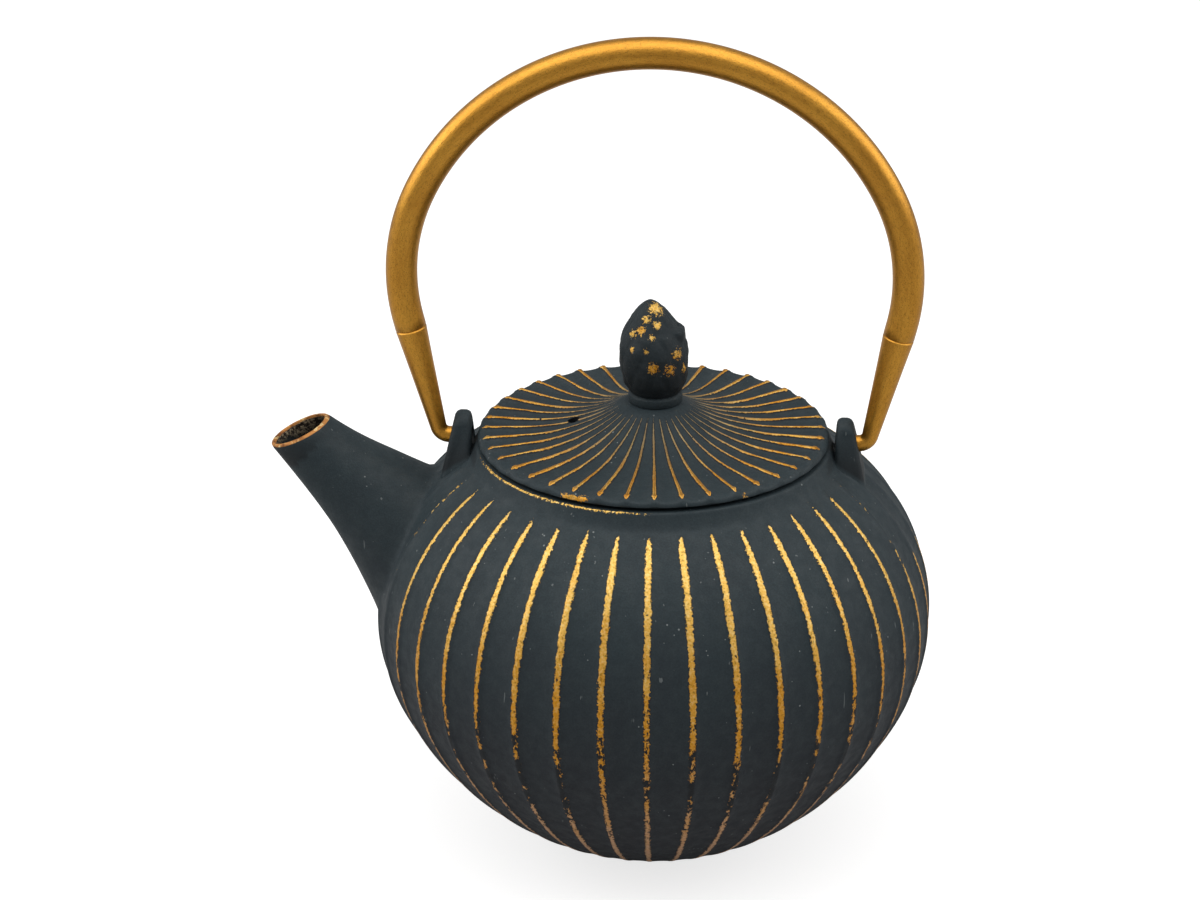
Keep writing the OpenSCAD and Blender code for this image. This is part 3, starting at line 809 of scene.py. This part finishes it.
def lidGilt(place):
    radius = fromAxis(place)
    if not onLidTop(place) or hypot(place.x - lid["ventX"], place.y) < lid["ventRadius"] + 0.1:
        return 0
    start, end = lid["ribStart"], lid["ribEnd"]
    return smooth(start - 5, start + 4, radius) * (1 - smooth(end + 0.5, end + 1.1, radius))


def lidVentShade(place):
    # painted shade in and round the vent hole
    away = hypot(place.x - lid["ventX"], place.y)
    return 1 - smooth(lid["ventRadius"] + 0.02, lid["ventRadius"] + 0.1, away)


def lidDull(place):
    # the lines lose their shine towards the knob
    return lidWear["dull"] * (1 - smooth(*lidWear["dullFade"], fromAxis(place)))


def lidPatch(place):
    turn = frontTurn(place)
    radius = fromAxis(place)
    if place.z < lidZ + 0.4 or radius < lid["radius"] - 1.5:
        return 0
    # a rubbed stretch of the edge left of the front, and a spot on the right
    stretchStart, stretchEnd = lidWear["rubStart"], lidWear["rubEnd"]
    rubbed = lidWear["rubbed"] * smooth(*stretchStart, turn) * (1 - smooth(*stretchEnd, turn))
    rubbed += lidWear["spot"] * (1 - smooth(0, 1.4, abs(turn - lidWear["spotTurn"])))
    return rubbed * (1 - smooth(0.3, 0.9, abs(place.z - lidTop + 1.5)))


# the knob's rubbed spots: place over the middle of its seat, and radius
wornSpots = [
    ((0.8, -2.4, 27.1), 1.7), ((-1.7, -4.6, 24.6), 0.8), ((-3.1, -5.8, 21.9), 1), ((-5.1, -5.2, 20.8), 0.8),
    ((1.1, -5.3, 23.2), 0.9), ((-0.1, -7, 20.4), 0.7), ((-5.1, -7.2, 17.1), 0.6), ((-1.5, -8.5, 17), 0.6),
    ((6.4, -6, 15.7), 1.2), ((0.4, -9.1, 12.5), 1.2), ((4.6, -7.7, 11.7), 1.2), ((7.9, -4, 10.9), 0.9)]


def knobPatch(place):
    worn = 0
    for spot, size in wornSpots:
        away = (place - Vector(spot) - Vector((0, 0, seatZ))).length
        worn = max(worn, 1 - away / (size * 2))
    return worn


def potEarShade(place):
    # painted shade: the ears are darker towards their feet
    if abs(place.x) < pot["earInner"] - 1.5 or place.z < pinZ - 14:
        return 0
    if bodyGap(place) < 0.3 or spoutGap(place) < 1.5:
        return 0
    start, end = potWearAndShade["earShadeZ"]
    return potWearAndShade["earShade"] * (1 - smooth(pinZ + start, pinZ + end, place.z)) * smooth(0.3, 1, bodyGap(place))


def knobShadeAndTone(place):
    # the cone is darker in tone, and darker still low down as painted shade; the collar only a little
    return 0.75 - 0.45 * smooth(seatZ + 4, seatZ + 20, place.z) if place.z > seatZ + 3 else 0.1


def spoutBoreShade(place):
    # painted shade down the bore: how far down the bore a place is
    return smooth(*potWearAndShade["boreShadeDark"], -lipDistance(place)) if place.x < -60 else 1


wearAndShadePlaces = (
    (potPiece, {"soot": potEarShade, "deep": spoutBoreShade, "gilt": potGilt, "patch": potPatch, "copper": potCopper,
                "rust": potRust}),
    (lidPiece, {"gilt": lidGilt, "soot": lidVentShade, "dull": lidDull, "patch": lidPatch}),
    (knobPiece, {"soot": knobShadeAndTone, "patch": knobPatch}),
)
for piece, values in wearAndShadePlaces:
    for name, valueOf in values.items():
        paint(piece, name, valueOf)
print("worn places painted")

# node helpers: a Value is a node's output, which can be reckoned with like a number


class Value:
    def __init__(self, socket):
        self.socket, self.tree = socket, socket.id_data

    def __add__(self, other):
        return calc("ADD", self, other)

    def __sub__(self, other):
        return calc("SUBTRACT", self, other)

    def __rsub__(self, other):
        return calc("SUBTRACT", other, self)

    def __mul__(self, other):
        return calc("MULTIPLY", self, other)

    def __truediv__(self, other):
        return calc("DIVIDE", self, other)

    def __rtruediv__(self, other):
        return calc("DIVIDE", other, self)

    def __pow__(self, other):
        return calc("POWER", self, other)

    def __abs__(self):
        return calc("ABSOLUTE", self)


def feed(node, inputs):
    # each input is linked to a Value, or set to a plain value
    for name, value in inputs.items():
        if isinstance(value, Value):
            value.tree.links.new(value.socket, node.inputs[name])
        else:
            node.inputs[name].default_value = value


def addNode(tree, kind, inputs, **settings):
    made = tree.nodes.new("ShaderNode" + kind)
    for name, value in settings.items():
        setattr(made, name, value)
    feed(made, inputs)
    return made


def output(node, name=0):
    return Value(node.outputs[name])


def calc(operation, *values):
    tree = next(value.tree for value in values if isinstance(value, Value))
    return output(addNode(tree, "Math", dict(enumerate(values)), operation=operation))


def ramp(value, low, high, start=0.0, end=1.0):
    # goes smoothly from start to end as value goes from low to high
    inputs = {"Value": value, "From Min": low, "From Max": high, "To Min": start, "To Max": end}
    return output(addNode(value.tree, "MapRange", inputs, interpolation_type="SMOOTHSTEP"))


def blend(factor, *pair):
    # a colour is a Value or a name; sockets 6 and 7 of a Mix node are its colours, and so is output 2
    first, second = (colours[one] if isinstance(one, str) else one for one in pair)
    inputs = {"Factor": factor, 6: first, 7: second}
    return output(addNode(factor.tree, "Mix", inputs, data_type="RGBA"), 2)


def noise(place, size, detail=2.0, rough=0.5):
    # size is the length of one wave in millimetres
    inputs = {"Vector": place, "Scale": 1 / size, "Detail": detail, "Roughness": rough}
    return output(addNode(place.tree, "TexNoise", inputs), "Fac")


def stretch(place, scale):
    return output(addNode(place.tree, "Mapping", {"Vector": place, "Scale": scale}))


def parts(place):
    # its X, Y and Z
    return [Value(socket) for socket in addNode(place.tree, "SeparateXYZ", {0: place}).outputs]


def millimetres(tree):
    place = output(addNode(tree, "TexCoord", {}), "Object")
    return output(addNode(tree, "VectorMath", {0: place, "Scale": 1000}, operation="SCALE"))


def attribute(tree, name):
    return output(addNode(tree, "Attribute", {}, attribute_name=name), "Fac")


def newGroup(name, inputs, outputs):
    group = bpy.data.node_groups.new(name, "ShaderNodeTree")
    for label, value in inputs.items():
        socket = group.interface.new_socket(label, in_out="INPUT", socket_type="NodeSocketFloat")
        socket.default_value = value
    for label, kind in outputs.items():
        group.interface.new_socket(label, in_out="OUTPUT", socket_type="NodeSocket" + kind)
    given = {socket.name: Value(socket) for socket in group.nodes.new("NodeGroupInput").outputs}
    return group, given, group.nodes.new("NodeGroupOutput")


def useGroup(tree, group, inputs):
    made = tree.nodes.new("ShaderNodeGroup")
    made.node_tree = group
    feed(made, inputs)
    return {socket.name: Value(socket) for socket in made.outputs}


def linear(value):
    # one channel of a colour as a screen shows it, from 0 to 255
    return value / 255 / 12.92 if value < 11 else ((value / 255 + 0.055) / 1.055) ** 2.4


screenColours = {
    "ironHighLit": (46, 58, 63), "ironLowShaded": (42, 45, 51), "ironPale": (62, 72, 75), "ironDark": (22, 25, 28),
    "chalk": (140, 146, 146), "hairline": (126, 118, 96),
    "goldBright": (246, 196, 94), "goldOchre": (216, 148, 36), "goldTan": (222, 172, 132),
    "goldGlint": (255, 232, 168), "goldBrown": (120, 78, 30),
    "copperRing": (196, 134, 72), "copperDark": (120, 72, 36),
    "rustDark": (40, 32, 26), "rustPale": (166, 152, 126), "boreShadeDark": (12, 10, 9),
    "bailDeep": (212, 150, 50), "bailBright": (228, 166, 60), "bailStreak": (176, 114, 30),
    "bailSpeck": (120, 76, 22),
    "steelGrey": (176, 178, 180), "steelPale": (206, 207, 208), "steelBrush": (140, 142, 145),
}
colours = {name: (*map(linear, channels), 1) for name, channels in screenColours.items()}


# how large the iron's markings are, and how high its grain stands, in millimetres
iron = {
    "cloud": 22, "mottle": 3.2, "grain": 0.42, "speckGroup": 9, "scratch": 1.1,
    "grainRise": 0.05, "mottleRise": 0.12, "giltRise": 0.04, "crustRise": 0.5,
    "giltMetal": 0.4, "giltShine": 0.15, "copperMetal": 0.3, "specular": 0.25,
}


def ironSkin():
    # slate grey cast iron: lighter and teal high up, darker and more purple low down, with light specks,
    # hairlines and grain; the lighter top is partly painted light from above
    group, given, result = newGroup("iron skin", {"High": 110, "Low": 20},
                                    {"Color": "Color", "Roughness": "Float", "Height": "Float"})
    place = millimetres(group)
    cloud = noise(place, iron["cloud"], 3)
    level = ramp(parts(place)[2], given["Low"], given["High"]) + (cloud - 0.5) * 0.9
    level = calc("MINIMUM", calc("MAXIMUM", level, 0), 1)
    # painted light: the iron is lighter high up, as if lit from above, as well as more teal
    skin = blend(level, "ironLowShaded", "ironHighLit")
    mottle = noise(place, iron["mottle"], 4, 0.6)
    skin = blend(ramp(mottle, 0.35, 0.75, 0, 0.3), skin, "ironPale")
    grain = noise(place, iron["grain"], 3, 0.65)
    skin = blend(ramp(grain, 0.3, 0.75, 0.35, 0), skin, "ironDark")
    # chalky specks, thick in some places and absent in others
    spots = addNode(group, "TexVoronoi", {"Vector": place, "Scale": 0.45, "Randomness": 1})
    size = ramp(noise(place, iron["speckGroup"], 2), 0.46, 0.72) * 0.13
    speck = ramp(size - output(spots, "Distance"), 0, 0.02)
    scratch = noise(stretch(place, (1, 1, 0.09)), iron["scratch"], 2, 0.4)
    mark = calc("MAXIMUM", speck * 0.75, ramp(scratch, 0.74, 0.78, 0, 0.4))
    feed(result, {"Color": blend(mark, skin, "chalk"),
                  "Roughness": ramp(mottle, 0.3, 0.7, 0.62, 0.5),
                  "Height": grain * iron["grainRise"] + mottle * iron["mottleRise"]})
    return group


def giltLines():
    # ragged gilt lines that run out from the axis; Gilt says how much of a line is left
    group, given, result = newGroup(
        "gilt lines",
        {"Count": 40, "Turn": 0, "Half Width": 0.8, "Narrowing": 75, "Ragged": 2.2, "Worn Below": 36,
         "Whole Above": 84, "Head At": 999, "Thinning": 0.45, "Gilt": 1},
        {"Mask": "Float", "Outline": "Float", "Core": "Float"})
    place = millimetres(group)
    east, north, height = parts(place)
    radius = calc("SQRT", east * east + north * north)
    steps = calc("ARCTAN2", north, east) / (2 * pi) * given["Count"] - given["Turn"]
    number = calc("ROUND", steps)
    offset = (steps - number) * (radius * (2 * pi / given["Count"]))
    # each line wanders a little, and is bitten from its edges, most of all low down
    apart = number * 37.7  # each line's noise starts elsewhere
    along = output(addNode(group, "CombineXYZ", {"X": apart, "Y": radius, "Z": height}))
    wander = (noise(along, 16, 2) - 0.5) * 0.6
    swell = ramp(noise(along, 7, 2), 0.25, 0.7, 0.8, 1.12)
    wear = ramp(height, given["Worn Below"], given["Whole Above"], 1, 0) * ramp(height, 20, 54, 0.08, 0.9)
    wear = wear * ramp(noise(along, 19, 2), 0.35, 0.6, 0.25, 1)
    bite = (noise(place, 0.8, 4, 0.75) - 0.5) * (given["Ragged"] * (wear * 1.3 + 1))
    half = given["Half Width"] * (radius / given["Narrowing"]) ** 0.8 * swell * given["Gilt"] ** 0.6
    thin = ramp(height, 35, 108, 1, 0) * ramp(height, 8, 48, 0.1, 1) * given["Thinning"]
    half = half * (1 - thin) + ramp(abs(radius - given["Head At"]), 0.1, 0.9, 0.25, 0)
    inside = half - abs(offset + wander) + bite
    torn = noise(stretch(place, (1, 1, 0.45)), 1.7, 4, 0.65)
    loss = wear * 0.38 - ramp(given["Gilt"], 0, 0.55, 0, 0.3)
    whole = 1 - ramp(torn + loss, 0.36, 0.39)
    feed(result, {"Mask": ramp(inside, -0.04, 0.04) * whole * ramp(given["Gilt"], 0.01, 0.08),
                  "Outline": ramp(inside, -0.4, -0.05) * ramp(given["Gilt"], 0, 0.5),
                  "Core": ramp(inside, 0.12, 0.34)})
    return group


def raggedPatch():
    # turns a soft painted amount into torn flakes
    group, given, result = newGroup("ragged patch", {"Amount": 0}, {"Mask": "Float"})
    torn = noise(millimetres(group), 0.65, 5, 0.75) * 3.2 + given["Amount"]
    feed(result, {"Mask": ramp(torn, 2.08, 2.14) * ramp(given["Amount"], 0.02, 0.15)})
    return group


def goldLeaf():
    # rubbed gold: bright and yellow high up, ochre lower, tan at the foot, the brightness high up partly a
    # painted sheen; pale flakes are painted glints
    group, given, result = newGroup("gold leaf", {"High": 95, "Low": 40, "Foot": 8},
                                    {"Color": "Color", "Roughness": "Float"})
    place = millimetres(group)
    height = parts(place)[2] + (noise(place, 6, 3) - 0.5) * 44
    colour = blend(ramp(height, given["Low"], given["High"]), "goldOchre", "goldBright")
    colour = blend(ramp(height, given["Foot"], given["Low"]), "goldTan", colour)
    flake = noise(place, 0.7, 3, 0.6)
    # painted glints: pale flakes, more of them high up
    glint = ramp(flake, 0.5, 0.64) * ramp(height, given["Low"], given["High"], 0.2, 0.5)
    colour = blend(glint, colour, "goldGlint")
    colour = blend(ramp(flake, 0.34, 0.44, 0.55, 0), colour, "goldBrown")
    feed(result, {"Color": colour, "Roughness": ramp(noise(place, 1.5, 2), 0.3, 0.7, 0.3, 0.5)})
    return group


ironGroup, lineGroup, patchGroup, leafGroup = ironSkin(), giltLines(), raggedPatch(), goldLeaf()


def newMaterial(name):
    material = bpy.data.materials.new(name)
    material.use_nodes = True
    return material, material.node_tree, material.node_tree.nodes["Principled BSDF"]


def wearOn(piece, material):
    piece.data.materials.clear()
    piece.data.materials.append(material)


def bumpFrom(height):
    # the height is in millimetres
    return output(addNode(height.tree, "Bump", {"Height": height, "Distance": mm, "Strength": 1.0}))


def castIron(name, lines=None, copper=False, leafHeights=(95, 40, 8), core=0.0, grain=1.0):
    material, tree, shader = newMaterial(name)
    skin = useGroup(tree, ironGroup, {})
    leaf = useGroup(tree, leafGroup, dict(zip(("High", "Low", "Foot"), leafHeights)))
    gilding = leaf["Color"]
    # painted shade on the ears, in the lid's vent and low on the knob, whose cone is also darker in tone
    colour = blend(attribute(tree, "soot"), skin["Color"], "ironDark")
    mask = useGroup(tree, patchGroup, {"Amount": attribute(tree, "patch")})["Mask"]
    if lines:
        drawn = useGroup(tree, lineGroup, {"Gilt": attribute(tree, "gilt"), **lines})
        colour = blend(drawn["Outline"] * 0.8, colour, "ironDark")
        gilding = blend(drawn["Core"] * core, gilding, "goldBrown")
        gilding = blend(attribute(tree, "dull"), gilding, "hairline")
        mask = calc("MAXIMUM", mask, drawn["Mask"])
    colour = blend(mask, colour, gilding)
    metal = mask * iron["giltMetal"]
    height = skin["Height"] * grain + mask * iron["giltRise"]
    if copper:
        place = millimetres(tree)
        bare = ramp(attribute(tree, "rust"), 0.3, 0.7)
        crust = noise(place, 0.9, 4, 0.7)
        rust = blend(ramp(crust, 0.46, 0.58), "rustDark", "rustPale")
        # painted shade: the rusty bore goes near black further down
        rust = blend(attribute(tree, "deep"), rust, "boreShadeDark")
        colour = blend(bare, colour, rust)
        ring = ramp(attribute(tree, "copper") + (noise(place, 2.2, 3) - 0.5) * 0.5, 0.42, 0.58)
        toneAndGlint = ramp(noise(place, 2.5, 3), 0.4, 0.7)
        ringColour = blend(toneAndGlint, "copperRing", "copperDark")
        # pale painted glints on the copper ring, over its own darker and lighter tone
        toneAndGlint = ramp(noise(place, 1.4, 3), 0.5, 0.66, 0, 0.6)
        ringColour = blend(toneAndGlint, ringColour, "goldGlint")
        colour = blend(ring, colour, ringColour)
        metal = calc("MAXIMUM", metal, ring * iron["copperMetal"])
        height = height + crust * bare * iron["crustRise"]
    feed(shader, {"Base Color": colour, "Roughness": mask * -iron["giltShine"] + skin["Roughness"],
                  "Metallic": metal, "Specular IOR Level": iron["specular"], "Normal": bumpFrom(height)})
    return material


# the settings of each piece's lines, and the heights where its gold changes colour
potLines = {"Turn": pot["crestTurn"] / pitch, "Half Width": 0.95}
lidLines = {
    "Turn": (lid["ribTurn"] - 90) / ribPitch, "Half Width": 0.44, "Narrowing": 42.0, "Ragged": 0.4,
    "Thinning": 0.0, "Head At": lid["ribEnd"] - 0.2, "Worn Below": 0.0, "Whole Above": 1.0,
}
wearOn(potPiece, castIron("pot iron", potLines, True, leafHeights=(104, 64, 14)))
wearOn(lidPiece, castIron("lid iron", lidLines, leafHeights=(134, 112, 90), core=0.6))
wearOn(knobPiece, castIron("knob iron", leafHeights=(150, 134, 120), grain=3.0))


def bailGold():
    # lacquer that is streaked along the bail
    material, tree, shader = newMaterial("bail gold")
    east, north, height = parts(millimetres(tree))
    rise = height - crownZ
    length = calc("ARCTAN2", east, rise) * 60.0
    reach = calc("SQRT", east * east + rise * rise)
    along = output(addNode(tree, "CombineXYZ", {"X": length, "Y": reach, "Z": north}))
    streak = noise(stretch(along, (0.3, 1, 1)), 0.5, 3, 0.6)
    cloud = noise(stretch(along, (0.4, 1, 1)), 6, 3)
    speck = noise(along, 0.3, 2, 0.6)
    colour = blend(ramp(cloud, 0.3, 0.7), "bailDeep", "bailBright")
    colour = blend(ramp(streak, 0.42, 0.62, 0, 0.3), colour, "bailStreak")
    colour = blend(ramp(speck, 0.56, 0.66, 0, 0.5), colour, "bailSpeck")
    feed(shader, {"Base Color": colour, "Roughness": ramp(streak, 0.3, 0.7, 0.38, 0.3), "Metallic": 0.9,
                  "Coat Weight": 0.25, "Coat Roughness": 0.35,
                  "Normal": bumpFrom(streak * 0.02 + speck * 0.06)})
    return material


def brushedSteel():
    material, tree, shader = newMaterial("brushed steel")
    place = millimetres(tree)
    brush = noise(stretch(place, (0.15, 0.15, 3)), 0.8, 3)
    colour = blend(ramp(noise(place, 14, 2), 0.3, 0.7), "steelGrey", "steelPale")
    colour = blend(ramp(brush, 0.4, 0.7, 0, 0.25), colour, "steelBrush")
    feed(shader, {"Base Color": colour, "Roughness": ramp(brush, 0.3, 0.7, 0.24, 0.38), "Metallic": 1,
                  "Normal": bumpFrom(brush * 0.02)})
    return material


gold = bailGold()
for piece in (tubePiece, rightLeg, leftLeg):
    wearOn(piece, gold)
steel = brushedSteel()
for node in ("knob_washer", "knob_nut", "basket_flange", "basket_wall", "basket_base"):
    wearOn(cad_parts[node], steel)
print("materials made")

camera = {
    "azimuth": 2.85, "elevation": 26.4323, "distance": 898.96, "aim": (-14.56, 17.76, 38.21),
    "roll": -0.26, "focal": 98.88, "sensor": 36, "farClip": 20,
}


def makeCamera():
    turn = radians(camera["azimuth"])

    def turned(x, y, z):
        across = x * cos(turn) - y * sin(turn)
        deep = x * sin(turn) + y * cos(turn)
        return Vector((across, deep, z)) * mm

    rise = radians(camera["elevation"])
    eye = turned(0, -camera["distance"] * cos(rise), camera["distance"] * sin(rise) + middleZ)
    aim = turned(camera["aim"][0], camera["aim"][1], camera["aim"][2] + middleZ)
    bpy.ops.object.camera_add(location=eye)
    eyepiece = bpy.context.object
    look = (aim - eye).to_track_quat("-Z", "Y").to_matrix()
    roll = radians(camera["roll"])
    side, up = look.col[0].copy(), look.col[1].copy()
    look.col[0] = side * cos(roll) + up * sin(roll)
    look.col[1] = up * cos(roll) - side * sin(roll)
    eyepiece.rotation_euler = look.to_euler()
    eyepiece.data.lens = camera["focal"]
    eyepiece.data.sensor_width = camera["sensor"]
    eyepiece.data.clip_end = camera["farClip"]
    bpy.context.scene.camera = eyepiece


makeCamera()

# lamps have a place, a width and depth in metres, a power and a tint
studio = {
    "lamps": {
        "top lamp": ((0, -0.2, 1.3), 2.2, 1.3, 15, (1, 0.99, 0.97)),
        "left lamp": ((-1.15, -0.05, 0.66), 1.3, 0.8, 6.5, (1, 1, 1)),
        "right lamp": ((1.15, 0.05, 0.66), 1.2, 0.8, 5, (1, 1, 1)),
    },
    "lampAim": (0, 0, 0.08), "white": (1, 1, 1, 1),
    "floorSize": 6, "floorGrey": (0.5, 0.5, 0.5, 1), "floorRough": 0.9, "floorGlow": 0.75,
    "fadeStart": 0.7, "fadeEnd": 1.9, "skyLight": 0.24, "skySeen": 0.9, "skyShine": 0.1,
}


def makeLamp(name, place, wide, deep, energy, tint):
    bpy.ops.object.light_add(type="AREA", location=place)
    lamp = bpy.context.object
    lamp.name = name
    lamp.data.shape = "RECTANGLE"
    lamp.data.size, lamp.data.size_y = wide, deep
    lamp.data.energy = energy
    lamp.data.color = tint
    lamp.rotation_euler = (Vector(studio["lampAim"]) - lamp.location).to_track_quat("-Z", "Y").to_euler()


def makeFloor():
    # white to the camera, grey to the lamps, so that only the shadow shows
    pickNone()
    bpy.ops.mesh.primitive_plane_add(size=studio["floorSize"])
    floor = bpy.context.object
    floor.name = "floor"
    material, tree, shader = newMaterial("paper floor")
    rays = addNode(tree, "LightPath", {})
    seen = calc("MAXIMUM", output(rays, "Is Camera Ray"), output(rays, "Is Transmission Ray"))
    place = output(addNode(tree, "TexCoord", {}), "Object")
    reach = output(addNode(tree, "VectorMath", {0: place}, operation="LENGTH"), "Value")
    # the far floor goes over into the white behind
    glow = ramp(reach, studio["fadeStart"], studio["fadeEnd"], studio["floorGlow"], 1)
    feed(shader, {"Base Color": studio["floorGrey"], "Roughness": studio["floorRough"],
                  "Specular IOR Level": 0, "Emission Color": studio["white"],
                  "Emission Strength": seen * glow})
    wearOn(floor, material)


def makeSky():
    # brighter to the camera and in reflections than it lights
    world = bpy.data.worlds.new("studio")
    bpy.context.scene.world = world
    world.use_nodes = True
    rays = addNode(world.node_tree, "LightPath", {})
    seen = output(rays, "Is Camera Ray") * studio["skySeen"]
    shine = output(rays, "Is Glossy Ray") * studio["skyShine"]
    sky = world.node_tree.nodes["Background"]
    feed(sky, {"Color": studio["white"], "Strength": seen + shine + studio["skyLight"]})


for name, values in studio["lamps"].items():
    makeLamp(name, *values)
makeFloor()
makeSky()
bpy.context.scene.view_settings.view_transform = "Standard"
